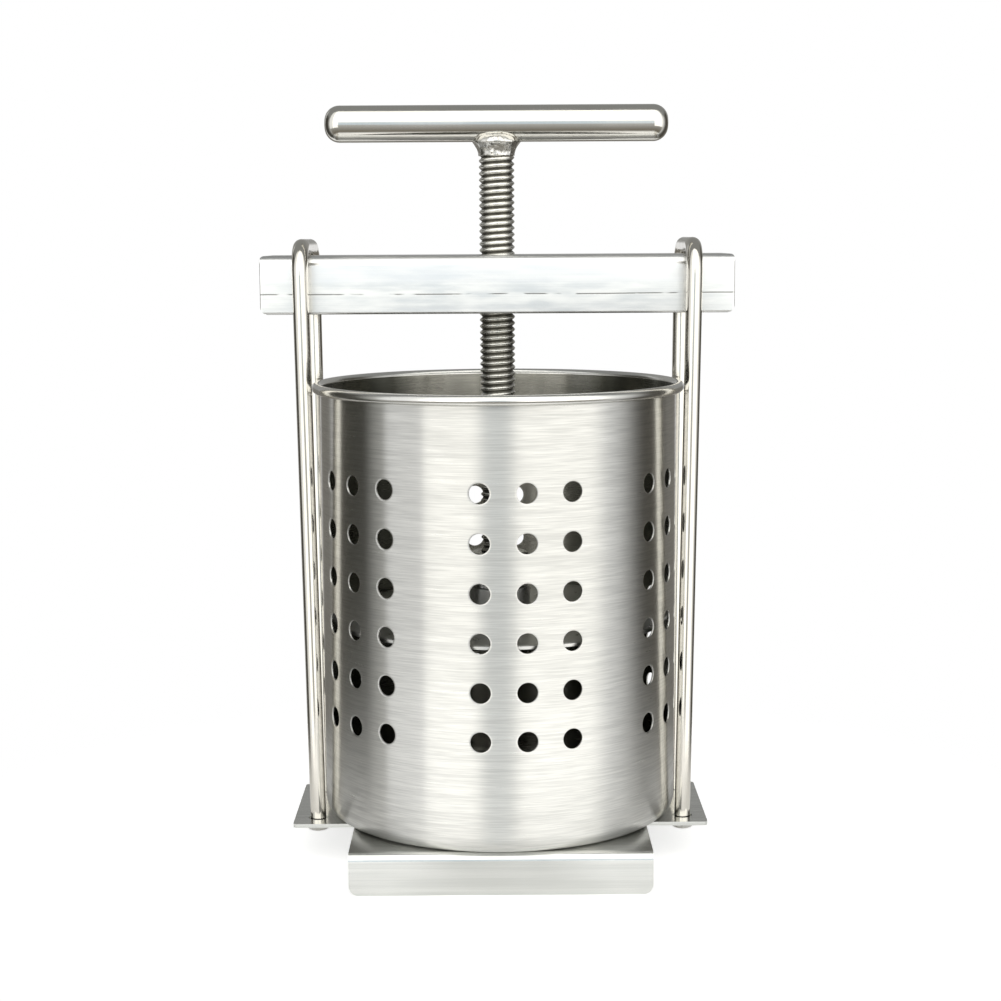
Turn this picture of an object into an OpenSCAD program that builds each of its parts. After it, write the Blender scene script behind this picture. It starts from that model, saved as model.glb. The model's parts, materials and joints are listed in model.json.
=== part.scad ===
// Screw press for vegetables: a perforated bucket on a bent sheet base, two rod hoops that hold
// a crossbar above it, and a T-handled screw that drives a round press plate down into the bucket.
// Millimetres. +Z is up, +Y points to the back, and the origin is on the table under the screw's axis.

/* [Base] */
// Thickness of the base sheet
sheet_t = 2; // [1:0.5:3]
// Height of the base's top face above the table
base_h = 21; // [17:1:40]
// Width of the front and rear tongues
tongue_w = 148; // [100:1:160]
// How far the legs' outer faces stand back from the bucket's wall
leg_inset = 4; // [1:0.5:12]
// Outer radius of the bend between tongue and leg
bend_r = 4; // [3.5:0.5:8]
// Radius of the legs' lower corners
leg_corner_r = 5; // [1:0.5:10]
// Sheet left round a hoop's foot, to the edges of the ear
ear_margin = 12; // [8:0.5:20]
// Radius of the ears' corners
ear_corner_r = 2; // [0.5:0.5:6]

/* [Bucket] */
// Outer radius of the bucket's wall
body_r = 91; // [80:1:110]
// Thickness of the bucket's sheet
wall_t = 1; // [0.6:0.1:1.4]
// Height of the bucket, floor to rim
bucket_h = 222.6; // [200:0.2:260]
// Outer radius between wall and floor
floor_r = 7.4; // [3:0.2:12]
// Outer radius of the rolled rim
bead_r = 2.6; // [2:0.1:4]
// Diameter of a drain hole
hole_d = 10; // [4:0.5:14]
// Groups of drain holes round the wall
hole_groups = 6; // [3:1:8]
// Columns of holes in a group
hole_columns = 3; // [1:1:3]
// Holes in a column
hole_rows = 6; // [1:1:6]
// Angle between two columns
column_step = 14.3; // [12:0.1:15]
// Height between two rows
row_pitch = 24; // [20:0.5:26]
// Depth of the top row below the rim
top_row_drop = 46.6; // [20:0.2:50]
// Angle from the front to the middle of the first group
group_turn = 8.4; // [0:0.1:30]

/* [Hoops] */
// Diameter of the hoop rod
rod_d = 8; // [6:0.5:10]
// Distance of a foot's axis from the middle, front to back
foot_y = 25; // [20:0.5:30]
// Radius of the rod's bends, at its axis
hoop_bend_r = 13; // [10:0.5:20]
// How much the rod swells in a bend, on the radius
bend_swell = 0.02; // [0.01:0.01:0.1]
// Gap between a hoop's foot and the bucket's wall
foot_gap = 1.9; // [1:0.1:5]
// Gap between a hoop and the bucket's rim
rim_gap = 2.6; // [1:0.1:6]
// Gap round a foot in its hole
foot_hole_gap = 1; // [0.5:0.1:2]
// Length of rod below the base sheet
stub_l = 4; // [3:0.5:8]
// Leg length of a foot's weld
foot_weld = 4; // [2:0.5:6]

/* [Crossbar] */
// Depth of the crossbar, front to back
bar_d = 50; // [40:1:60]
// Height of the crossbar
bar_h = 29; // [20:0.5:40]
// How far the bar stands out past the hoops
bar_overhang = 21; // [12:0.5:30]
// Radius of the bar's long edges
bar_edge_r = 3; // [1:0.5:5]
// Radius of the bar's upper end corners
bar_end_upper_r = 2; // [1:0.5:5]
// Radius of the bar's lower end corners
bar_end_lower_r = 4; // [1:0.5:8]
// Height of the gap between the bucket's rim and the bar
mouth_gap = 35.2; // [30:0.2:50]
// Gap between the bar's top and the hoops
bar_top_gap = 0.3; // [0.1:0.1:1]
// Chamfer at both mouths of the screw's bore
bore_chamfer = 1.2; // [0.4:0.2:3]

/* [Screw and handle] */
// Diameter of the screw over its thread
screw_d = 18; // [14:0.5:22]
// Length of the screw from its shoulder to the handle's axis
screw_l = 233; // [215:1:260]
// Diameter of the screw's plain lower end
journal_d = 14; // [12:0.5:15]
// Diameter of the handle bar
handle_d = 18.5; // [18.5:0.5:26]
// Length of the handle bar
handle_l = 173; // [120:1:220]
// Radius of the handle's rounded ends
handle_end_r = 7.5; // [1:0.5:8.5]
// How far the handle's weld stands out from the screw
handle_weld_w = 3.2; // [2:0.1:5]
// How far the handle's weld reaches below the handle
handle_weld_h = 7.2; // [4:0.2:9]

/* [Press plate] */
// Height of the plate's underside above the base, as drawn
press_height = 100; // [60:1:200]
// Thickness of the press plate
plate_t = 2.5; // [1.5:0.5:5]
// Gap between the plate and the bucket's wall
plate_gap = 2.5; // [1.5:0.5:6]
// Diameter of the plate's hub
hub_d = 32; // [24:1:40]
// Height of the plate's hub
hub_h = 14; // [8:0.5:18]
// Leg length of the hub's weld
hub_weld_w = 4; // [2:0.5:6]
// Diameter of the thrust washer
thrust_d = 30; // [24:1:34]
// Thickness of the thrust washer
thrust_t = 2.5; // [1.5:0.5:4]
// Stop nut, across its flats
nut_af = 27; // [24:1:32]
// Height of the stop nut
nut_h = 15; // [10:0.5:18]
// Diameter of the washer under the plate
tip_washer_d = 26; // [20:1:34]
// Thickness of the washer under the plate
tip_washer_t = 2; // [1:0.5:4]
// Diameter of the tip bolt
bolt_d = 8; // [6:0.5:8.5]
// Length of the tip bolt in the screw
bolt_l = 20; // [12:1:30]
// Head of the tip bolt, across its flats
bolt_af = 13; // [11:0.5:16]
// Height of the tip bolt's head
bolt_head_h = 5.3; // [3:0.1:8]

/* [Fits] */
// Running clearance of the screw in the bar and in the hub, on the radius
run_clear = 0.05; // [0.02:0.01:0.1]
// Clearance of pieces that sit fast on the screw, on the radius
seat_clear = 0.1; // [0.05:0.05:0.3]
// End play of the screw in the hub
end_play = 0.3; // [0.2:0.1:0.6]

/* [Hidden] */
$fn = 96;

// Overshoot of a cutting body past the face that it cuts
cut = 1;

steel = "#c4c4c0";
bright_steel = "#d8d8d2";
aluminium = "#dcdcdc";
weld_grey = "#b4b2aa";
dark_steel = "#a2a29e";

rod_r = rod_d / 2;
screw_r = screw_d / 2;
journal_r = journal_d / 2;
handle_r = handle_d / 2;
hub_r = hub_d / 2;
bolt_r = bolt_d / 2;

// Heights
sheet_under = base_h - sheet_t;
rim_top = base_h + bucket_h;
bar_under = rim_top + mouth_gap;
bar_top = bar_under + bar_h;

// Plan of the bucket and the base
inner_r = body_r - wall_t;
bead_axis_r = inner_r + bead_r;
rim_r = bead_axis_r + bead_r;
base_half_d = body_r - leg_inset;

// Hoop: the bends end where the flat of the bar's top begins, and both legs lean out to clear the rim
hoop_top = bar_top + bar_top_gap + rod_r;
hoop_bend_z = hoop_top - hoop_bend_r;
hoop_top_y = bar_d / 2 - bar_edge_r + hoop_bend_r;
splay = (hoop_top_y - foot_y) / (hoop_bend_z - base_h);
rim_level_y = foot_y + splay * bucket_h;
foot_x = sqrt(pow(body_r + foot_gap + rod_r, 2) - pow(foot_y, 2));
rim_level_x = sqrt(pow(rim_r + rim_gap + rod_r, 2) - pow(rim_level_y, 2));
lean_slope = (rim_level_x - foot_x) / bucket_h;
lean = atan(lean_slope);
splay_angle = atan(splay * cos(lean));
bar_half_l = foot_x + lean_slope * (bar_top - base_h) + bar_overhang;

ear_half_x = foot_x + ear_margin;
ear_half_y = foot_y + ear_margin;

// Press plate and screw, upwards from the plate's underside
plate_z = base_h + press_height;
plate_top = plate_z + plate_t;
hub_top = plate_top + hub_h;
thrust_z = hub_top + end_play;
shoulder_z = thrust_z + thrust_t;
handle_z = shoulder_z + screw_l;
handle_under = handle_z - handle_r;
journal_end = plate_z - end_play;
tip_washer_z = journal_end - tip_washer_t;
plate_r = inner_r - plate_gap;

// Outline with all four corners round, centred
module round_rect(w, h, r) {
    square([w - 2 * r, h], center = true);
    square([w, h - 2 * r], center = true);
    for (x = [-1, 1], y = [-1, 1])
        translate([x * (w / 2 - r), y * (h / 2 - r)]) circle(r);
}

// Standing outline with separate radii for its upper and lower corners, from y = 0 to h
module end_outline(w, h, r_upper, r_lower) {
    for (x = [-1, 1]) {
        translate([x * (w / 2 - r_lower), r_lower]) circle(r_lower);
        translate([x * (w / 2 - r_upper), h - r_upper]) circle(r_upper);
    }
    translate([-w / 2, r_lower]) square([w, h - r_upper - r_lower]);
    translate([-(w / 2 - r_lower), 0]) square([w - 2 * r_lower, h / 2]);
    translate([-(w / 2 - r_upper), h / 2]) square([w - 2 * r_upper, h / 2]);
}

// Solid arch: flat feet at y = 0 and round upper corners
module arch_outline(w, h, r) {
    translate([-w / 2, 0]) square([w, h - r]);
    translate([-(w / 2 - r), 0]) square([w - 2 * r, h]);
    for (x = [-1, 1])
        translate([x * (w / 2 - r), h - r]) circle(r);
}

// Stands a drawing in the YZ plane and gives it a length along X
module along_x(length) {
    rotate([90, 0, 90]) linear_extrude(length, center = true) children();
}

// Stands a drawing in the XZ plane and gives it a length along Y
module along_y(length) {
    rotate([90, 0, 0]) linear_extrude(length, center = true) children();
}

module ring(outer_r, inner_r, h) {
    difference() {
        cylinder(r = outer_r, h = h);
        translate([0, 0, -cut]) cylinder(r = inner_r, h = h + 2 * cut);
    }
}

// Hexagon with its corners turned off at both ends
module hexagon(af, h) {
    corner_r = af / sqrt(3);
    turned = corner_r - af / 2;
    intersection() {
        cylinder(r = corner_r, h = h, $fn = 6);
        rotate_extrude()
            polygon([[0, 0], [af / 2, 0], [corner_r, turned / 2], [corner_r, h - turned / 2],
                     [af / 2, h], [0, h]]);
    }
}

// Bent sheet: two tongues folded down into legs, and an ear on each side for a hoop
module base_plate() {
    color(steel) difference() {
        union() {
            intersection() {
                along_x(tongue_w) difference() {
                    arch_outline(2 * base_half_d, base_h, bend_r);
                    translate([0, -cut])
                        arch_outline(2 * (base_half_d - sheet_t), sheet_under + cut, bend_r - sheet_t);
                }
                along_y(2 * base_half_d + 2 * cut)
                    end_outline(tongue_w, base_h + leg_corner_r + cut, leg_corner_r, leg_corner_r);
            }
            translate([0, 0, sheet_under]) linear_extrude(sheet_t)
                round_rect(2 * ear_half_x, 2 * ear_half_y, ear_corner_r);
        }
        for (x = [-1, 1], y = [-1, 1])
            translate([x * foot_x, y * foot_y, sheet_under - cut])
                cylinder(r = rod_r + foot_hole_gap, h = sheet_t + 2 * cut);
    }
}

// Places children on the right hoop's plane: its origin between the feet, Z up along the plane
module on_hoop_plane() {
    translate([foot_x, 0, base_h]) rotate([0, lean, 0]) children();
}

// Places children on a leg's axis: its origin at the base's top face, Z up along the leg
module on_leg(side) {
    on_hoop_plane() translate([0, side * foot_y, 0]) rotate([-side * splay_angle, 0, 0]) children();
}

// One rod bent over the crossbar, standing on two legs
module hoop() {
    bend_up = (hoop_bend_z - base_h) / cos(lean);
    leg_l = (bend_up - hoop_bend_r * sin(splay_angle)) / cos(splay_angle);
    bend_y = foot_y + leg_l * sin(splay_angle) - hoop_bend_r * cos(splay_angle);
    tail = sheet_t + stub_l;
    join = 0.1;
    color(bright_steel) {
        for (side = [-1, 1])
            on_leg(side) translate([0, 0, -tail]) cylinder(r = rod_r, h = leg_l + tail + join);
        on_hoop_plane() {
            for (side = [0, 1])
                mirror([0, side, 0]) translate([0, bend_y, bend_up]) rotate([90, 0, 90])
                    rotate([0, 0, -splay_angle]) rotate_extrude(angle = 90 + splay_angle)
                        translate([hoop_bend_r, 0]) circle(rod_r + bend_swell);
            translate([0, 0, bend_up + hoop_bend_r]) rotate([90, 0, 0])
                cylinder(r = rod_r, h = 2 * (bend_y + join), center = true);
        }
    }
}

module right_hoop() {
    hoop();
}

module left_hoop() {
    mirror([1, 0, 0]) hoop();
}

// A fillet of weld round each foot, under the base sheet
module hoop_welds() {
    color(weld_grey) difference() {
        for (x = [0, 1], side = [-1, 1])
            mirror([x, 0, 0]) on_leg(side) translate([0, 0, -sheet_t]) rotate_extrude()
                polygon([[rod_r, cut], [rod_r + foot_weld, cut], [rod_r + foot_weld, -foot_weld / 4],
                         [rod_r + foot_weld / 4, -stub_l * 0.9], [rod_r, -stub_l * 0.9]]);
        translate([0, 0, sheet_under + ear_half_x]) cube(2 * ear_half_x, center = true);
    }
}

// Drawn bar with round edges, bored for the screw
module crossbar() {
    bore_r = screw_r + run_clear;
    color(aluminium) translate([0, 0, bar_under]) difference() {
        intersection() {
            along_x(2 * bar_half_l) translate([0, bar_h / 2]) round_rect(bar_d, bar_h, bar_edge_r);
            along_y(bar_d + 2 * cut) end_outline(2 * bar_half_l, bar_h, bar_end_upper_r, bar_end_lower_r);
        }
        translate([0, 0, -cut]) cylinder(r = bore_r, h = bar_h + 2 * cut);
        translate([0, 0, -cut])
            cylinder(r1 = bore_r + bore_chamfer + cut, r2 = bore_r, h = bore_chamfer + cut);
        translate([0, 0, bar_h - bore_chamfer])
            cylinder(r1 = bore_r, r2 = bore_r + bore_chamfer + cut, h = bore_chamfer + cut);
    }
}

// Half section of a round can's outside, with a round corner at the floor
module can_section(r, h, corner_r) {
    square([r - corner_r, h]);
    translate([0, corner_r]) square([r, h - corner_r]);
    translate([r - corner_r, corner_r]) circle(corner_r);
}

// Sheet rolled outwards from the top of the wall, its edge turned back to the wall
module rolled_rim_section() {
    open_from = 180;
    open_to = 245;
    reach = 3 * bead_r;
    difference() {
        circle(bead_r);
        circle(bead_r - wall_t);
        polygon([[0, 0], for (a = [open_from, (open_from + open_to) / 2, open_to])
                             reach * [cos(a), sin(a)]]);
    }
}

// Spun bucket: round floor corner, rolled rim, and groups of drain holes
module bucket() {
    wall_h = bucket_h - bead_r;
    color(steel) translate([0, 0, base_h]) difference() {
        rotate_extrude() {
            difference() {
                can_section(body_r, wall_h, floor_r);
                translate([0, wall_t]) can_section(inner_r, wall_h, floor_r - wall_t);
            }
            translate([bead_axis_r, wall_h]) rolled_rim_section();
        }
        for (group = [0 : hole_groups - 1], column = [0 : hole_columns - 1], row = [0 : hole_rows - 1])
            rotate([0, 0, group_turn + group * 360 / hole_groups
                          + (column - (hole_columns - 1) / 2) * column_step])
                translate([0, -inner_r + cut, bucket_h - top_row_drop - row * row_pitch])
                    rotate([90, 0, 0]) cylinder(d = hole_d, h = wall_t + 3 * cut);
    }
}

// Round plate that fits the bucket, with a light chamfer on its edges
module press_plate() {
    edge = plate_t / 5;
    color(steel) translate([0, 0, plate_z]) rotate_extrude()
        polygon([[journal_r + run_clear, 0], [plate_r - edge, 0], [plate_r, edge],
                 [plate_r, plate_t - edge], [plate_r - edge, plate_t], [journal_r + run_clear, plate_t]]);
}

// Collar on the plate that guides the screw's plain end
module plate_hub() {
    color(dark_steel) translate([0, 0, plate_top]) ring(hub_r, journal_r + run_clear, hub_h);
}

// Fillet of weld between the hub and the plate
module hub_weld() {
    color(weld_grey) translate([0, 0, plate_top]) rotate_extrude() difference() {
        translate([hub_r, 0]) square(hub_weld_w);
        translate([hub_r + hub_weld_w * 1.2, hub_weld_w * 1.2]) circle(hub_weld_w);
        polygon([[hub_r + hub_weld_w * 0.3, hub_weld_w + cut], [hub_r + hub_weld_w + cut, hub_weld_w + cut],
                 [hub_r + hub_weld_w + cut, hub_weld_w * 0.3]]);
    }
}

// Washer that passes the screw's thrust to the hub
module thrust_washer() {
    color(bright_steel) translate([0, 0, thrust_z]) ring(thrust_d / 2, journal_r + seat_clear, thrust_t);
}

// Nut locked on the end of the thread
module stop_nut() {
    color(dark_steel) translate([0, 0, shoulder_z]) difference() {
        hexagon(nut_af, nut_h);
        translate([0, 0, -cut]) cylinder(r = screw_r + seat_clear, h = nut_h + 2 * cut);
    }
}

// Shaft at the thread's outer diameter, with a plain lower end that is tapped for the tip bolt
module screw() {
    color(steel) difference() {
        union() {
            translate([0, 0, journal_end]) cylinder(r = journal_r, h = shoulder_z - journal_end + cut);
            translate([0, 0, shoulder_z]) cylinder(r = screw_r, h = screw_l);
        }
        handle_bar(handle_r);
        translate([0, 0, journal_end - cut])
            cylinder(r = bolt_r + run_clear, h = bolt_l - tip_washer_t + 2 * cut);
    }
}

// Plain round bar on the handle's axis
module handle_bar(r) {
    translate([0, 0, handle_z]) rotate([0, 90, 0]) cylinder(r = r, h = handle_l, center = true);
}

// Round bar with round ends, across the top of the screw
module t_handle() {
    straight = handle_l - 2 * handle_end_r;
    color(bright_steel) translate([0, 0, handle_z]) rotate([0, 90, 0])
        rotate_extrude() {
            translate([0, -straight / 2]) square([handle_r, straight]);
            translate([0, -handle_l / 2]) square([handle_r - handle_end_r, handle_l]);
            for (y = [-1, 1])
                intersection() {
                    translate([handle_r - handle_end_r, y * straight / 2]) circle(handle_end_r);
                    translate([0, -handle_l / 2]) square([handle_r, handle_l]);
                }
        }
}

// Hollow fillet of weld from the screw up to the handle's flanks
module handle_weld() {
    hollow_r = 3 * handle_weld_w;
    bottom = handle_under - handle_weld_h;
    crown = handle_under + handle_r / 2;
    outer_r = screw_r + handle_weld_w;
    color(weld_grey) difference() {
        rotate_extrude() difference() {
            polygon([[screw_r, bottom], [outer_r, bottom], [outer_r, handle_under + handle_weld_w / 3],
                     [screw_r + handle_weld_w / 3, crown], [screw_r, crown]]);
            translate([screw_r + hollow_r, bottom]) circle(hollow_r);
        }
        handle_bar(handle_r);
    }
}

// Washer that holds the plate up on the screw
module tip_washer() {
    color(bright_steel) translate([0, 0, tip_washer_z])
        ring(tip_washer_d / 2, bolt_r + seat_clear, tip_washer_t);
}

// Bolt up into the end of the screw
module tip_bolt() {
    color(dark_steel) translate([0, 0, tip_washer_z]) {
        translate([0, 0, -bolt_head_h]) hexagon(bolt_af, bolt_head_h);
        cylinder(r = bolt_r, h = bolt_l);
    }
}

base_plate();
left_hoop();
right_hoop();
hoop_welds();
crossbar();
bucket();
press_plate();
plate_hub();
hub_weld();
thrust_washer();
stop_nut();
screw();
t_handle();
handle_weld();
tip_washer();
tip_bolt();
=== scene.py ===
"""Looks of a vegetable screw press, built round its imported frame.

Metres, +Z up, +Y to the back. The bucket, the crossbar, the threaded screw and the handle's weld
are modelled here. The other pieces keep their solids, and every piece gets its finish here.
"""

import json
import math

import bmesh
import bpy
from mathutils import Matrix, Vector

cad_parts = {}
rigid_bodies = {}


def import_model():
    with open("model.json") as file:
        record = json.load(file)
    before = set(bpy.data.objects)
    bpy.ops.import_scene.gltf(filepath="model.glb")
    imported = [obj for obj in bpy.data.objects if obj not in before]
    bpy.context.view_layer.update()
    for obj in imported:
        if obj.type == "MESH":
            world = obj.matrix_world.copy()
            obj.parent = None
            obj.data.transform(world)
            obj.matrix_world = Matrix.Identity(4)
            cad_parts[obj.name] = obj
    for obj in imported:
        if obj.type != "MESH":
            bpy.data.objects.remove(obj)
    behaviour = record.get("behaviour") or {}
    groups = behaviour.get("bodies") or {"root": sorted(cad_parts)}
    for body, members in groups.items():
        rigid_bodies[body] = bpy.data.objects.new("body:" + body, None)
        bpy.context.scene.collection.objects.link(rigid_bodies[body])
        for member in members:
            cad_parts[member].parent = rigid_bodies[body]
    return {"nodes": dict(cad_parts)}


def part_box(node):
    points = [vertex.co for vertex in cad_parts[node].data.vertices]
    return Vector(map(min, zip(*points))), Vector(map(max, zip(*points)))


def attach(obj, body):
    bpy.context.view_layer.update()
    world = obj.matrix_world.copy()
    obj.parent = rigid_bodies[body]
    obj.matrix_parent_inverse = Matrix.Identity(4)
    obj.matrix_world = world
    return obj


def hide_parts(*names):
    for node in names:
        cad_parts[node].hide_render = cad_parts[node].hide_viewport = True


# Clear away what Blender starts with
for leftover in list(bpy.data.objects):
    bpy.data.objects.remove(leftover)
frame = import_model()
bpy.context.view_layer.update()

MM = 0.001
NEAR = 0.01 * MM  # points closer than this count as one

# Sizes that the frame gives
bucket_low, bucket_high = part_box("bucket")
handle_low, handle_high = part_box("t_handle")
weld_low, weld_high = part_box("handle_weld")
screw_low, screw_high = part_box("screw")
bar_low, bar_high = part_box("crossbar")
shoulder_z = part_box("stop_nut")[0].z
bolt_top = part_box("tip_bolt")[1].z

# Bucket: sheet, rolled rim, floor corner and drain holes
SHEET = 1 * MM
SHEET_EDGE_R = 0.22 * MM
BEAD_R = 2.6 * MM
ROLL_TURN = 295
FLOOR_R = 7.4 * MM
HOLE_R = 5 * MM
HOLE_LIP = 0.9 * MM
HOLE_GROUPS = 6
HOLE_COLUMNS = 3
HOLE_ROWS = 6
COLUMN_STEP = 14.3
ROW_PITCH = 24 * MM
TOP_ROW_DROP = 46.6 * MM
GROUP_TURN = 8.4
bucket_r = bucket_high.x - 2 * BEAD_R + SHEET
roll_z = bucket_high.z - BEAD_R
roll_axis_r = bucket_r - SHEET + BEAD_R

# Crossbar: radii of its edges and ends, and the bore for the screw
BAR_UPPER_R = 5 * MM
BAR_LOWER_R = 1.2 * MM
BAR_END_UPPER_R = 2 * MM
BAR_END_LOWER_R = 4 * MM
BAR_CORNER_R = 1 * MM
BORE_R = 9.05 * MM
BORE_CHAMFER = 1.2 * MM

# Screw, journal and handle
THREAD_PITCH = 3.2 * MM
THREAD_DEPTH = 1.35 * MM
JOURNAL_R = 7 * MM
JOURNAL_CHAMFER = 0.6 * MM
BOLT_HOLE_R = 4.05 * MM
BOLT_HOLE_SPARE = 1 * MM
DRILL_POINT = 1.5 * MM
DRILL_TIP_R = 0.3 * MM
screw_r = screw_high.x
handle_z = (handle_low.z + handle_high.z) / 2
handle_r = (handle_high.z - handle_low.z) / 2

# Camera of the photograph
LENS = 70.49
SENSOR = 36
CAMERA_PLACE = Vector((-2.06, -1003.93, 317.22)) * MM
CAMERA_PITCH = math.radians(7.693)
CAMERA_YAW = math.radians(0.177)
CAMERA_ROLL = math.radians(-0.317)


# Modelling

def begin(add, **settings):
    """Add a primitive with nothing else selected, and go into edit mode on it."""
    bpy.ops.object.select_all(action="DESELECT")
    add(**settings)
    bpy.ops.object.transform_apply(location=True, rotation=True, scale=True)
    bpy.ops.object.mode_set(mode="EDIT")
    bpy.ops.mesh.select_all(action="SELECT")
    return bpy.context.object


def select(piece, part, test):
    """In edit mode, select just the vertices, edges or faces that pass the test."""
    bpy.ops.mesh.select_mode(type=part)
    bpy.ops.mesh.select_all(action="DESELECT")
    mesh = bmesh.from_edit_mesh(piece.data)
    for item in {"VERT": mesh.verts, "EDGE": mesh.edges, "FACE": mesh.faces}[part]:
        if test(item):
            item.select_set(True)
    mesh.select_flush_mode()
    bmesh.update_edit_mesh(piece.data)


def edge_at(axis, place):
    """A test for edges that lie at one place on an axis."""
    return lambda edge: all(abs(v.co[axis] - place) < NEAR for v in edge.verts)


def extrude(x=0, y=0, z=0):
    bpy.ops.mesh.extrude_region_move(TRANSFORM_OT_translate={"value": (x, y, z)})


def turn(outline):
    """Extrude the selected ring about Z along (radius, height) points, which start at the ring."""
    for (r, z), (next_r, next_z) in zip(outline, outline[1:]):
        extrude(z=next_z - z)
        ratio = next_r / r
        bpy.ops.transform.resize(value=(ratio, ratio, 1), center_override=(0, 0, 0))


def arc(centre_r, centre_z, radius, start, end, steps):
    """Points (radius, height) of an arc in a half section, angles in degrees."""
    angles = [math.radians(start + (end - start) * i / steps) for i in range(steps + 1)]
    return [(centre_r + radius * math.cos(a), centre_z + radius * math.sin(a)) for a in angles]


def apply(piece, kind, **settings):
    """Give the piece a modifier and apply it, in object mode."""
    modifier = piece.modifiers.new(kind.lower(), kind)
    for key, value in settings.items():
        setattr(modifier, key, value)
    bpy.context.view_layer.objects.active = piece
    bpy.ops.object.modifier_apply(modifier=modifier.name)


def repeat(piece, count, x=0, z=0):
    """Copy the piece in a row, joined where the copies meet."""
    apply(piece, "ARRAY", count=count, use_relative_offset=False, use_constant_offset=True,
          constant_offset_displace=(x, 0, z), use_merge_vertices=True, merge_threshold=NEAR)


def close_seams():
    bpy.ops.mesh.select_all(action="SELECT")
    bpy.ops.mesh.remove_doubles(threshold=NEAR / 2)


def face_outwards():
    bpy.ops.mesh.select_all(action="SELECT")
    bpy.ops.mesh.normals_make_consistent(inside=False)


def leave_edit():
    bpy.ops.mesh.select_all(action="DESELECT")
    bpy.ops.object.mode_set(mode="OBJECT")


def cut(piece, operation, tool):
    """Intersect the piece with a tool, or take the tool away from it. The tool is used up."""
    apply(piece, "BOOLEAN", operation=operation, solver="EXACT", object=tool)
    bpy.data.objects.remove(tool)


def hand_over(piece, node, body, finish, smooth_angle=35):
    """Name and shade a finished piece, give it its finish, and let it stand for a solid."""
    piece.name = piece.data.name = node + "_shown"
    bpy.ops.object.select_all(action="DESELECT")
    piece.select_set(True)
    bpy.context.view_layer.objects.active = piece
    bpy.ops.object.shade_smooth_by_angle(angle=math.radians(smooth_angle))
    piece.data.materials.clear()
    piece.data.materials.append(finish)
    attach(piece, body)
    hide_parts(node)


def finish_faces(piece, finish, test):
    """Give the faces of a finished piece that pass the test a finish of their own."""
    piece.data.materials.append(finish)
    piece.active_material_index = len(piece.data.materials) - 1
    bpy.ops.object.mode_set(mode="EDIT")
    select(piece, "FACE", test)
    bpy.ops.object.material_slot_assign()
    leave_edit()


def holed_tile(width, height):
    """One flat tile of the bucket's wall, standing in XZ, with a drain hole in its middle."""
    side_cuts = 5
    upright = (math.pi / 2, 0, 0)
    tile = begin(bpy.ops.mesh.primitive_plane_add, size=1, rotation=upright)
    bpy.ops.mesh.delete(type="ONLY_FACE")
    bpy.ops.mesh.select_all(action="SELECT")
    bpy.ops.transform.resize(value=(width, 1, height), center_override=(0, 0, 0))
    bpy.ops.mesh.subdivide(number_cuts=side_cuts)
    lip_r = HOLE_R + HOLE_LIP
    bpy.ops.mesh.primitive_circle_add(vertices=4 * (side_cuts + 1), radius=lip_r, rotation=upright)
    bpy.ops.mesh.select_mode(type="EDGE")
    bpy.ops.mesh.select_all(action="SELECT")
    bpy.ops.mesh.bridge_edge_loops(number_cuts=1, interpolation="LINEAR")
    select(tile, "EDGE", lambda e: all(v.co.length < lip_r + NEAR for v in e.verts))
    extrude()
    ratio = HOLE_R / lip_r
    bpy.ops.transform.resize(value=(ratio, ratio, ratio), center_override=(0, 0, 0))
    return tile


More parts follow.
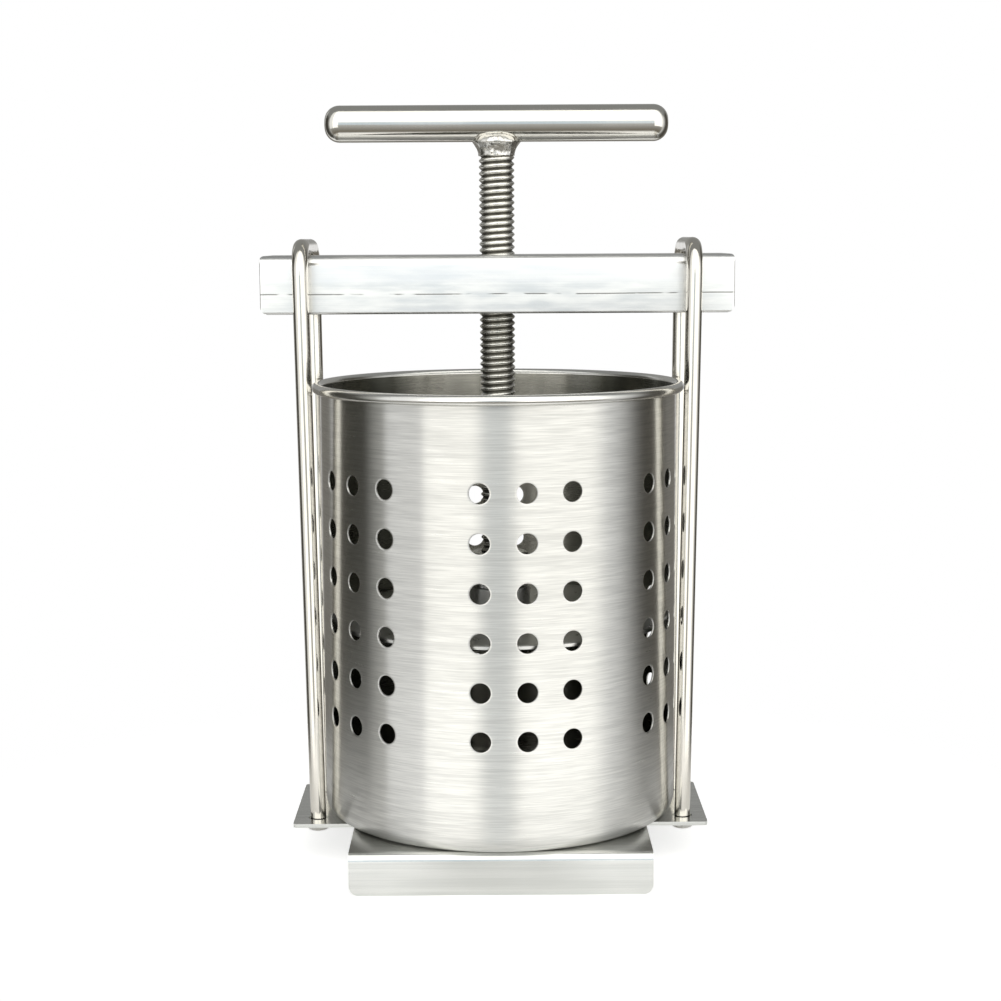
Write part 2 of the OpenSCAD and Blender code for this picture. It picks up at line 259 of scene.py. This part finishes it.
def bucket(outside, inside, rim):
    """Perforated sheet bent round, with a round floor corner and a rolled rim."""
    plain_cuts = 7
    wall_steps = 4
    roll_steps = 22
    corner_steps = 8
    floor_shares = (0.7, 0.45, 0.2, 0.05)
    tile_w = math.radians(COLUMN_STEP) * bucket_r
    sector_w = 2 * math.pi * bucket_r / HOLE_GROUPS
    plain_w = (sector_w - HOLE_COLUMNS * tile_w) / plain_cuts
    bottom_z = bucket_low.z + FLOOR_R
    top_row_z = bucket_high.z - TOP_ROW_DROP
    band_top = top_row_z + ROW_PITCH / 2
    band_bottom = band_top - HOLE_ROWS * ROW_PITCH
    first_turn = GROUP_TURN - (HOLE_COLUMNS - 1) / 2 * COLUMN_STEP - 180
    first_x = math.radians(first_turn) * bucket_r

    # One group of holes with the plain wall beside it, flat, then all groups, bent round
    piece = holed_tile(tile_w, ROW_PITCH)
    bpy.ops.mesh.select_all(action="SELECT")
    bpy.ops.transform.translate(value=(first_x, 0, top_row_z))
    leave_edit()
    repeat(piece, HOLE_COLUMNS, x=tile_w)
    repeat(piece, HOLE_ROWS, z=-ROW_PITCH)
    bpy.ops.object.mode_set(mode="EDIT")
    close_seams()
    select(piece, "EDGE", edge_at(0, first_x + (HOLE_COLUMNS - 0.5) * tile_w))
    for _ in range(plain_cuts):
        extrude(x=plain_w)
    for edge, end in ((band_top, roll_z), (band_bottom, bottom_z)):
        select(piece, "EDGE", edge_at(2, edge))
        for _ in range(wall_steps):
            extrude(z=(end - edge) / wall_steps)
    leave_edit()
    repeat(piece, HOLE_GROUPS, x=sector_w)
    apply(piece, "SIMPLE_DEFORM", deform_method="BEND", deform_axis="Z", angle=2 * math.pi)

    # Rim and floor, turned from the edges of the wall
    bpy.ops.object.mode_set(mode="EDIT")
    bpy.ops.mesh.select_all(action="SELECT")
    bpy.ops.transform.translate(value=(0, -bucket_r, 0))
    close_seams()
    face_outwards()
    select(piece, "EDGE", edge_at(2, roll_z))
    turn(arc(roll_axis_r, roll_z, BEAD_R - SHEET, 180, 180 - ROLL_TURN, roll_steps))
    select(piece, "EDGE", edge_at(2, bottom_z))
    corner = arc(bucket_r - FLOOR_R, bottom_z, FLOOR_R, 0, -90, corner_steps)
    turn(corner + [(share * bucket_r, bucket_low.z) for share in floor_shares])
    bpy.ops.mesh.edge_face_add()
    close_seams()
    leave_edit()
    apply(piece, "SOLIDIFY", thickness=SHEET, offset=-1, use_even_offset=True)
    apply(piece, "BEVEL", width=SHEET_EDGE_R, segments=2, limit_method="ANGLE",
          angle_limit=math.radians(50))
    hand_over(piece, "bucket", "bucket", outside)

    def is_rim(face):
        centre = face.calc_center_median()
        return centre.z > roll_z or centre.xy.length > bucket_r + 0.3 * MM

    def is_inside(face):
        centre = face.calc_center_median()
        faces_axis = face.normal.xy.dot(centre.xy.normalized()) < -0.3
        on_floor = face.normal.z > 0.5 and centre.z < bottom_z
        return not is_rim(face) and (faces_axis or on_floor)

    finish_faces(piece, inside, is_inside)
    finish_faces(piece, rim, is_rim)


def drawn_bar(finish):
    """Crossbar: drawn with wide round upper edges, cut with round ends, bored for the screw."""
    edge_segments = 8
    past = 1 * MM
    size = bar_high - bar_low

    def rounded_block(axis, spare, across, low_r, high_r):
        """Block of the bar's size, longer by a spare along one axis.

        Its edges along that axis are round, the low ones across it with one radius and the high
        ones with another.
        """
        scale = size.copy()
        scale[axis] += spare
        block = begin(bpy.ops.mesh.primitive_cube_add, size=1, scale=scale,
                      location=(bar_low + bar_high) / 2)

        def along(edge):
            return abs(edge.verts[0].co[axis] - edge.verts[1].co[axis]) > MM

        for place, radius in ((bar_low[across], low_r), (bar_high[across], high_r)):
            at_place = edge_at(across, place)
            select(block, "EDGE", lambda e: at_place(e) and along(e))
            bpy.ops.mesh.bevel(offset=radius, segments=edge_segments, affect="EDGES")
        leave_edit()
        return block

    piece = rounded_block(0, 0, 2, BAR_LOWER_R, BAR_UPPER_R)
    ends = rounded_block(1, 2 * past, 2, BAR_END_LOWER_R, BAR_END_UPPER_R)
    corners = rounded_block(2, 2 * past, 0, BAR_CORNER_R, BAR_CORNER_R)
    mouth_r = BORE_R + BORE_CHAMFER + past
    bore = begin(bpy.ops.mesh.primitive_circle_add, vertices=96, radius=mouth_r, fill_type="NGON",
                 location=(0, 0, bar_low.z - past))
    turn([(mouth_r, bar_low.z - past), (BORE_R, bar_low.z + BORE_CHAMFER),
          (BORE_R, bar_high.z - BORE_CHAMFER), (mouth_r, bar_high.z + past)])
    face_outwards()
    leave_edit()
    for operation, tool in (("INTERSECT", ends), ("INTERSECT", corners), ("DIFFERENCE", bore)):
        cut(piece, operation, tool)
    hand_over(piece, "crossbar", "frame", finish)


def threaded_screw(finish):
    """Thread of the real pitch, cut square at both ends, with a plain bored journal below."""
    points = 10
    around = 48
    fullness = 0.8
    turns = math.ceil((handle_low.z - shoulder_z) / THREAD_PITCH) + 2
    start_z = shoulder_z - THREAD_PITCH

    def thread_r(share):
        """Radius at a share of one pitch: round crest, slightly wider than the root."""
        crest = 0.5 - 0.5 * math.cos(2 * math.pi * share)
        return screw_r - THREAD_DEPTH * (1 - crest ** fullness)

    # One pitch of the thread's outline, from a single point
    piece = begin(bpy.ops.mesh.primitive_plane_add, size=1 * MM)
    select(piece, "VERT", lambda v: v.index > 0)
    bpy.ops.mesh.delete(type="VERT")
    bpy.ops.mesh.select_all(action="SELECT")
    only = bmesh.from_edit_mesh(piece.data).verts[:][0].co.copy()
    bpy.ops.transform.translate(value=Vector((thread_r(0), 0, start_z)) - only)
    for i in range(points):
        extrude(x=thread_r((i + 1) / points) - thread_r(i / points), z=THREAD_PITCH / points)
    leave_edit()
    apply(piece, "SCREW", axis="Z", angle=2 * math.pi, screw_offset=THREAD_PITCH, iterations=turns,
          steps=around, render_steps=around, use_merge_vertices=True, merge_threshold=NEAR)
    bpy.ops.object.mode_set(mode="EDIT")
    close_seams()
    face_outwards()
    for place, direction in ((shoulder_z, -1), (handle_low.z, 1)):
        bpy.ops.mesh.select_all(action="SELECT")
        bpy.ops.mesh.bisect(plane_co=(0, 0, place), plane_no=(0, 0, direction), clear_outer=True,
                            use_fill=True)

    # Journal below the shoulder, with the bolt's hole in its end
    bpy.ops.mesh.select_mode(type="EDGE")
    bpy.ops.mesh.select_all(action="DESELECT")
    hole_top = bolt_top + BOLT_HOLE_SPARE
    bpy.ops.mesh.primitive_circle_add(vertices=64, radius=JOURNAL_R, location=(0, 0, shoulder_z))
    turn([(JOURNAL_R, shoulder_z), (JOURNAL_R, screw_low.z + JOURNAL_CHAMFER),
          (JOURNAL_R - JOURNAL_CHAMFER, screw_low.z), (BOLT_HOLE_R, screw_low.z),
          (BOLT_HOLE_R, hole_top), (DRILL_TIP_R, hole_top + DRILL_POINT)])
    bpy.ops.mesh.edge_face_add()
    close_seams()
    leave_edit()
    hand_over(piece, "screw", "screw", finish, smooth_angle=50)


def lumpy_weld(finish):
    """Fillet between screw and handle: laid as rings, made uneven, cut to the handle's round."""
    steps = 14
    foot = 0.25 * MM
    foot_rise = 0.1 * MM
    inner_r = screw_r - 0.6 * MM
    reach = weld_high.x - screw_r
    rise = weld_high.z - weld_low.z
    hollow_r = 3 * reach
    hollow_rise = 0.6 * rise
    crown_r = screw_r + 0.2 * reach
    crown_inner_r = 0.4 * screw_r

    piece = begin(bpy.ops.mesh.primitive_circle_add, vertices=96, radius=inner_r,
                  location=(0, 0, weld_low.z))
    outline = [(inner_r, weld_low.z), (screw_r + foot, weld_low.z + foot_rise)]
    for i in range(1, steps + 1):
        climb = hollow_rise * i / steps
        spread = hollow_r - math.sqrt(hollow_r ** 2 - climb ** 2)
        outline.append((screw_r + foot + spread, weld_low.z + foot + climb))
    outline += [(crown_r, weld_high.z), (crown_inner_r, weld_high.z)]
    bpy.ops.mesh.edge_face_add()
    select(piece, "EDGE", lambda e: True)
    turn(outline)
    bpy.ops.mesh.edge_face_add()
    face_outwards()
    leave_edit()
    apply(piece, "SUBSURF", levels=1, render_levels=1)
    for name, size, lift in (("weld beads", 5 * MM, 0.9 * MM), ("weld pits", 1.6 * MM, 0.2 * MM)):
        lumps = bpy.data.textures.new(name, "CLOUDS")
        lumps.noise_scale = size
        lumps.noise_depth = 1
        apply(piece, "DISPLACE", texture=lumps, texture_coords="LOCAL", strength=lift,
              mid_level=0.55)
    bar = begin(bpy.ops.mesh.primitive_cylinder_add, vertices=128, radius=handle_r,
                depth=6 * screw_r, rotation=(0, math.pi / 2, 0), location=(0, 0, handle_z))
    leave_edit()
    cut(piece, "DIFFERENCE", bar)
    hand_over(piece, "handle_weld", "screw", finish, smooth_angle=60)


# Finishes

class Wire:
    """One output of a node. Arithmetic on wires adds Math nodes to their tree."""

    def __init__(self, socket):
        self.socket = socket

    def math(self, operation, *others):
        """Add a Math node whose first operand is this wire."""
        node = self.socket.id_data.nodes.new("ShaderNodeMath")
        node.operation = operation
        for value, slot in zip((self, *others), node.inputs):
            plug(value, slot)
        return Wire(node.outputs[0])

    def __add__(self, other):
        return self.math("ADD", other)

    def __sub__(self, other):
        return self.math("SUBTRACT", other)

    def __rsub__(self, other):
        return self * -1.0 + other

    def __mul__(self, other):
        return self.math("MULTIPLY", other)

    def __pow__(self, other):
        return self.math("POWER", other)

    __radd__ = __add__
    __rmul__ = __mul__


def plug(value, socket):
    """Link a wire to a socket, or set the socket to a plain value."""
    if isinstance(value, Wire):
        socket.id_data.links.new(value.socket, socket)
    else:
        socket.default_value = value


class Recipe:
    """A node tree that is being written."""

    def __init__(self, tree):
        self.tree = tree
        tree.nodes.clear()

    def node(self, kind, settings=None, sockets=None, result=0):
        """Add a node: its settings first, then the values or links of its sockets.

        Gives the wire of one output, or a list of wires where result is a tuple of outputs.
        """
        node = self.tree.nodes.new("ShaderNode" + kind)
        for key, value in (settings or {}).items():
            setattr(node, key, value)
        for key, value in (sockets or {}).items():
            plug(value, node.inputs[key])
        if isinstance(result, tuple):
            return [Wire(node.outputs[key]) for key in result]
        return Wire(node.outputs[result]) if node.outputs else None

    def place(self):
        return self.node("TexCoord", result="Object")

    def split(self, vector):
        """The X, Y and Z of a vector."""
        return self.node("SeparateXYZ", sockets={"Vector": vector}, result=("X", "Y", "Z"))

    def noise(self, size, detail=2.0, roughness=0.5):
        """Noise from 0 to 1 whose grains have this size along X, Y and Z."""
        scale = [1 / length for length in size]
        place = self.node("Mapping", sockets={"Vector": self.place(), "Scale": scale})
        return self.node("TexNoise", sockets={
            "Vector": place, "Scale": 1.0, "Detail": detail, "Roughness": roughness})

    def ramp(self, value, low, high, to_low=0.0, to_high=1.0, smooth=True):
        """Rise from to_low to to_high while value goes from low to high."""
        kind = "SMOOTHSTEP" if smooth else "LINEAR"
        return self.node("MapRange", {"interpolation_type": kind}, {
            "Value": value, "From Min": low, "From Max": high,
            "To Min": to_low, "To Max": to_high})

    def mix(self, factor, first, second):
        """Blend two colours."""
        first, second = [c if isinstance(c, Wire) else (*c, 1.0) for c in (first, second)]
        return self.node("Mix", {"data_type": "RGBA"}, {0: factor, 6: first, 7: second}, result=2)


BRUSHED_ROUND = {"Anisotropic": 1.0, "Anisotropic Rotation": 0.25}


def metal(name, write):
    """A metal whose write function gives colour, roughness, relief, its depth and fixed values."""
    finish = bpy.data.materials.new(name)
    finish.use_nodes = True
    recipe = Recipe(finish.node_tree)
    colour, roughness, height, depth, fixed = write(recipe)
    relief = recipe.node("Bump", sockets={"Height": height, "Strength": 1.0, "Distance": depth})
    surface = recipe.node("BsdfPrincipled", sockets={
        "Base Color": colour, "Metallic": 1.0, "Roughness": roughness, "Normal": relief, **fixed})
    recipe.node("OutputMaterial", sockets={"Surface": surface})
    return finish


def brushed_round(recipe):
    """Bucket: brushed round its axis, so that it mirrors in upright bands."""
    fine = recipe.noise((16 * MM, 16 * MM, 0.5 * MM), detail=4)
    broad = recipe.noise((60 * MM, 60 * MM, 2.4 * MM), detail=2)
    streak = fine * 0.7 + broad * 0.3
    tone = recipe.ramp(streak, 0.32, 0.68)
    colour = recipe.mix(tone, (0.62, 0.618, 0.596), (0.78, 0.775, 0.747))
    roughness = recipe.ramp(streak, 0.25, 0.75, 0.34, 0.26, smooth=False)
    return colour, roughness, streak, 0.02 * MM, BRUSHED_ROUND


def dull_inside_painted_shade(recipe):
    """Inside of the bucket: brushed like the outside, dull and stained, with painted shade that
    darkens it towards its left and right.
    """
    fine = recipe.noise((28 * MM, 28 * MM, 0.45 * MM), detail=3)
    stains = recipe.noise((24 * MM, 24 * MM, 40 * MM), detail=3)
    streak = fine * 0.5 + stains * 0.5
    tone = recipe.ramp(streak, 0.3, 0.7)
    middle = recipe.mix(tone, (0.37, 0.36, 0.32), (0.54, 0.53, 0.475))
    # Painted shade: a darker copy of the inside colour, for the left and right of the inside
    painted_shade_sides = recipe.mix(tone, (0.12, 0.12, 0.10), (0.20, 0.20, 0.17))
    x, _, _ = recipe.split(recipe.place())
    # The painted shade grows with the distance from the middle along X
    colour = recipe.mix(recipe.ramp(x.math("ABSOLUTE"), 34 * MM, 62 * MM), middle, painted_shade_sides)
    roughness = recipe.ramp(streak, 0.25, 0.75, 0.30, 0.22, smooth=False)
    return colour, roughness, fine, 0.01 * MM, BRUSHED_ROUND


def polished_rim(recipe):
    """Rolled rim: burnished by the rolling, with faint lines round it."""
    lines = recipe.noise((60 * MM, 60 * MM, 0.5 * MM), detail=2)
    handling = recipe.noise((18 * MM, 18 * MM, 18 * MM), detail=3)
    colour = recipe.mix(lines, (0.74, 0.735, 0.70), (0.82, 0.815, 0.79))
    roughness = recipe.ramp(handling, 0.3, 0.75, 0.17, 0.25)
    return colour, roughness, lines, 0.004 * MM, {}


def polished_rod(recipe):
    """Hoops: polished rod with faint draw marks along it."""
    draw = recipe.noise((0.5 * MM, 0.5 * MM, 40 * MM), detail=2)
    handling = recipe.noise((6 * MM, 6 * MM, 14 * MM), detail=3)
    colour = recipe.mix(draw, (0.72, 0.69, 0.63), (0.78, 0.755, 0.70))
    roughness = recipe.ramp(handling, 0.3, 0.75, 0.08, 0.17)
    return colour, roughness, draw, 0.004 * MM, {}


def polished_handle(recipe):
    """Handle: polished bar with faint marks of the polishing wheel round it."""
    wheel = recipe.noise((0.6 * MM, 9 * MM, 9 * MM), detail=2)
    handling = recipe.noise((22 * MM, 6 * MM, 6 * MM), detail=4)
    colour = recipe.mix(wheel, (0.73, 0.71, 0.66), (0.79, 0.775, 0.73))
    roughness = recipe.ramp(handling, 0.3, 0.75, 0.10, 0.19)
    return colour, roughness, wheel, 0.004 * MM, {}


def drawn_aluminium(recipe):
    """Crossbar: bright above, cloudy and scuffed below, with a broken line left by the drawing."""
    lines = recipe.noise((90 * MM, 0.7 * MM, 0.7 * MM), detail=3)
    cloud = recipe.noise((22 * MM, 9 * MM, 4 * MM), detail=3)
    scuffs = recipe.noise((14 * MM, 6 * MM, 6 * MM), detail=2)
    _, _, z = recipe.split(recipe.place())
    height = bar_high.z - bar_low.z
    seam_z = bar_low.z + 0.36 * height
    wander = recipe.noise((50 * MM, 50 * MM, 50 * MM)) * (1.0 * MM)
    off_seam = (z + wander - seam_z).math("ABSOLUTE")
    broken = recipe.ramp(scuffs, 0.40, 0.50)
    seam = recipe.ramp(off_seam, 0.15 * MM, 0.40 * MM, 1.0, 0.0) * broken
    upper = recipe.mix(lines, (0.80, 0.805, 0.805), (0.87, 0.87, 0.865))
    patches = recipe.ramp(cloud * 0.7 + lines * 0.3, 0.35, 0.65)
    lower = recipe.mix(patches, (0.77, 0.775, 0.765), (0.88, 0.88, 0.865))
    above = recipe.ramp(z, bar_low.z + 0.50 * height, bar_low.z + 0.58 * height)
    colour = recipe.mix(seam, recipe.mix(above, lower, upper), (0.26, 0.26, 0.25))
    roughness = recipe.ramp(cloud, 0.3, 0.7, 0.28, 0.38)
    return colour, roughness, lines - seam * 2.0, 0.015 * MM, {}


def rolled_sheet(recipe):
    """Base: rolled sheet with faint lines along X and soft clouds."""
    lines = recipe.noise((120 * MM, 1.8 * MM, 1.8 * MM), detail=3)
    cloud = recipe.noise((30 * MM, 14 * MM, 14 * MM), detail=2)
    tone = recipe.ramp(lines * 0.7 + cloud * 0.3, 0.3, 0.7)
    colour = recipe.mix(tone, (0.69, 0.70, 0.68), (0.81, 0.815, 0.795))
    roughness = recipe.ramp(cloud, 0.3, 0.7, 0.15, 0.21)
    return colour, roughness, lines, 0.004 * MM, {}


def from_axis(x, y):
    """Distance from the screw's axis."""
    return (x * x + y * y) ** 0.5


def satin_plate(recipe):
    """Press plate and hub: satin, with round marks of the turning tool and stains of use."""
    mark_pitch = 0.9 * MM
    x, y, _ = recipe.split(recipe.place())
    rings = (from_axis(x, y) * (2 * math.pi / mark_pitch)).math("SINE")
    stains = recipe.noise((14 * MM, 14 * MM, 14 * MM), detail=4, roughness=0.6)
    colour = recipe.mix(stains, (0.60, 0.60, 0.58), (0.73, 0.73, 0.71))
    roughness = recipe.ramp(stains, 0.3, 0.7, 0.26, 0.40)
    return colour, roughness, rings * 0.2 + stains, 0.01 * MM, {}


def machined_steel(recipe):
    """Nut, washers and bolt: machined faces with a fine grain."""
    grain = recipe.noise((0.8 * MM, 0.8 * MM, 0.25 * MM), detail=3)
    cloud = recipe.noise((5 * MM, 5 * MM, 5 * MM), detail=3)
    colour = recipe.mix(cloud, (0.56, 0.56, 0.54), (0.68, 0.675, 0.65))
    roughness = recipe.ramp(cloud, 0.3, 0.7, 0.22, 0.38)
    return colour, roughness, grain, 0.01 * MM, {}


def rolled_thread(recipe):
    """Screw: bright crests, and grooves rougher from use and darkened with painted shade."""
    x, y, _ = recipe.split(recipe.place())
    groove_r = screw_r - 0.8 * THREAD_DEPTH
    crest_r = screw_r - 0.15 * THREAD_DEPTH
    crest = recipe.ramp(from_axis(x, y), groove_r, crest_r)
    wear = recipe.noise((3 * MM, 3 * MM, 1.2 * MM), detail=4, roughness=0.6)
    # Painted shade: the grooves get a dark copy of the crest colour
    groove_painted_shade = recipe.mix(wear, (0.13, 0.125, 0.11), (0.26, 0.25, 0.22))
    crest_colour = recipe.mix(wear, (0.82, 0.81, 0.755), (0.93, 0.92, 0.875))
    colour = recipe.mix(crest, groove_painted_shade, crest_colour)
    roughness = recipe.ramp(wear, 0.3, 0.7, 0.20, 0.34) + (1.0 - crest) * 0.12
    return colour, roughness, wear, 0.03 * MM, {}


def laid_weld(recipe):
    """Welds: bright and pitted, with a trace of straw-coloured heat tint."""
    grain = recipe.noise((1.2 * MM, 1.2 * MM, 1.2 * MM), detail=2)
    pits = recipe.ramp(grain, 0.60, 0.70)
    tint = recipe.noise((5 * MM, 5 * MM, 5 * MM), detail=2)
    clean = recipe.mix(tint, (0.68, 0.66, 0.61), (0.84, 0.835, 0.81))
    colour = recipe.mix(pits, clean, (0.30, 0.28, 0.24))
    roughness = recipe.ramp(tint, 0.3, 0.7, 0.28, 0.18)
    return colour, roughness, grain * 0.3 - pits, 0.08 * MM, {}


# Studio

WHITE = (1.0, 1.0, 1.0)


def studio():
    """World: a white surround with a large soft light in front, and cards that the steel mirrors.

    Azimuth 0 is in front of the press and grows to the right, in degrees.
    """
    surround = (1.0, 1.005, 1.0)
    soft_light = (1.70, 1.69, 1.63)
    cool_middle = (0.68, 0.79, 0.88)
    side_cards = (
        (-92, -77, 4, 1, (0.40, 0.40, 0.38)),  # grey, left
        (-131, -89, 5, 6, (0.06, 0.058, 0.05)),  # dark, far left
        (89, 150, 20, 5, (0.08, 0.075, 0.065)),  # dark, far right
    )
    far_low, far_high = (0.19, 0.18, 0.16), (0.31, 0.31, 0.30)
    backdrop_strip = (0.85, 0.85, 0.85)
    ground_low, ground_high = (0.15, 0.13, 0.095), (0.50, 0.50, 0.485)
    grey_ceiling = (0.27, 0.275, 0.27)

    world = bpy.data.worlds.new("studio")
    bpy.context.scene.world = world
    world.use_nodes = True
    recipe = Recipe(world.node_tree)
    x, y, z = recipe.split(recipe.node("TexCoord", result="Generated"))
    azimuth = x.math("ARCTAN2", y * -1.0) * (180 / math.pi)

    def card(left, right, left_soft, right_soft):
        """Mask of an upright card between two azimuths, with soft edges."""
        return (recipe.ramp(azimuth, left - left_soft, left + left_soft)
                * recipe.ramp(azimuth, right - right_soft, right + right_soft, 1.0, 0.0))

    def below(top, clear):
        """Mask that is full below one height and gone at another."""
        return recipe.ramp(z, top, clear, 1.0, 0.0)

    light = recipe.mix(card(-48.5, 68, 1.5, 9), surround, soft_light)
    light = recipe.mix(card(-10, 8, 6, 6) * below(0.10, 0.24), light, cool_middle)
    for *edges, colour in side_cards:
        light = recipe.mix(card(*edges), light, colour)

    # Behind the press: dim, with a bright strip low in the middle
    far = recipe.mix(recipe.ramp(z, 0.02, 0.12), far_low, far_high)
    light = recipe.mix(recipe.ramp(y, 0.62, 0.76), light, far)
    light = recipe.mix(recipe.ramp(y, 0.94, 0.975) * below(0.03, 0.09), light, backdrop_strip)

    # Low in front: dark ground, which comes up higher in the middle
    middle = card(-13, 11, 7, 7) * below(-0.16, -0.08)
    ground = middle.math("MAXIMUM", card(-80, 80, 9, 9) * below(-0.42, -0.34))
    depth = recipe.ramp(z, -0.85, -0.16, smooth=False)
    light = recipe.mix(ground, light, recipe.mix(depth, ground_low, ground_high))

    ceiling = recipe.ramp(y, -0.17, -0.09) * recipe.ramp(z, 0.35, 0.6)
    light = recipe.mix(ceiling, light, grey_ceiling)

    seen = recipe.node("LightPath", result="Is Camera Ray")
    light = recipe.mix(seen, light, WHITE)
    background = recipe.node("Background", sockets={"Color": light, "Strength": 1.0})
    recipe.node("OutputWorld", sockets={"Surface": background})


def floor():
    """Pale round floor that keeps the shadow and fades out into the white surround."""
    reach = 0.34
    seen_glow = 0.6
    bpy.ops.object.select_all(action="DESELECT")
    bpy.ops.mesh.primitive_circle_add(vertices=96, radius=reach, fill_type="NGON")
    ground = bpy.context.object
    ground.name = "floor"
    finish = bpy.data.materials.new("floor white")
    finish.use_nodes = True
    recipe = Recipe(finish.node_tree)
    seen, glossy, through = recipe.node("LightPath", result=(
        "Is Camera Ray", "Is Glossy Ray", "Is Transmission Ray"))
    x, y, _ = recipe.split(recipe.place())

    # In mirror images the floor glows most in front of the press, and little in the middle
    in_front = recipe.ramp(y, -0.22, -0.06, 0.7, 0.1)
    off_middle = recipe.ramp(x.math("ABSOLUTE"), 0.015, 0.06, 0.3, 1.0)
    strength = seen * seen_glow + (glossy + through) * (in_front * off_middle)
    glow_colour = recipe.mix(strength, (0.0, 0.0, 0.0), WHITE)
    back = recipe.node("NewGeometry", result="Backfacing")
    fade = recipe.ramp(from_axis(x, y), 0.55 * reach, 0.98 * reach, 1.0, 0.0)
    matt = recipe.node("BsdfDiffuse", sockets={"Color": (0.85, 0.85, 0.85, 1.0)})
    glow = recipe.node("Emission", sockets={"Color": glow_colour, "Strength": 1.0})
    white = recipe.node("AddShader", sockets={0: matt, 1: glow})
    clear = recipe.node("BsdfTransparent")
    surface = recipe.node("MixShader", sockets={0: fade * (1.0 - back), 1: clear, 2: white})
    recipe.node("OutputMaterial", sockets={"Surface": surface})
    ground.data.materials.append(finish)


def camera():
    """The photograph's viewpoint."""
    level = Vector((math.cos(CAMERA_YAW), -math.sin(CAMERA_YAW), 0))
    ahead = Vector((math.sin(CAMERA_YAW), math.cos(CAMERA_YAW), 0))
    forward = ahead * math.cos(CAMERA_PITCH) - Vector((0, 0, math.sin(CAMERA_PITCH)))
    upright = level.cross(forward)
    right = math.cos(CAMERA_ROLL) * level + math.sin(CAMERA_ROLL) * upright
    up = math.cos(CAMERA_ROLL) * upright - math.sin(CAMERA_ROLL) * level
    data = bpy.data.cameras.new("camera")
    data.lens = LENS
    data.sensor_width = SENSOR
    viewer = bpy.data.objects.new("camera", data)
    bpy.context.scene.collection.objects.link(viewer)
    aim = Matrix((right, up, -forward)).transposed().to_4x4()
    viewer.matrix_world = Matrix.Translation(CAMERA_PLACE) @ aim
    bpy.context.scene.camera = viewer


camera()
studio()
floor()
bpy.context.scene.view_settings.view_transform = "Standard"

rod_finish = metal("polished rod", polished_rod)
plate_finish = metal("satin plate", satin_plate)
fastener_finish = metal("machined steel", machined_steel)
weld_finish = metal("laid weld", laid_weld)
bucket(metal("brushed bucket", brushed_round), metal("dull inside with painted shade", dull_inside_painted_shade),
       metal("polished rim", polished_rim))
drawn_bar(metal("drawn aluminium", drawn_aluminium))
threaded_screw(metal("rolled thread", rolled_thread))
lumpy_weld(weld_finish)

# Pieces that keep their solids
FINISHES = {
    "base_plate": metal("rolled sheet", rolled_sheet),
    "t_handle": metal("polished handle", polished_handle),
    "left_hoop": rod_finish, "right_hoop": rod_finish,
    "hoop_welds": weld_finish, "hub_weld": weld_finish,
    "press_plate": plate_finish, "plate_hub": plate_finish,
    "stop_nut": fastener_finish, "thrust_washer": fastener_finish,
    "tip_washer": fastener_finish, "tip_bolt": fastener_finish,
}
for node_name, finish in FINISHES.items():
    frame["nodes"][node_name].material_slots[0].material = finish

bpy.context.view_layer.update()
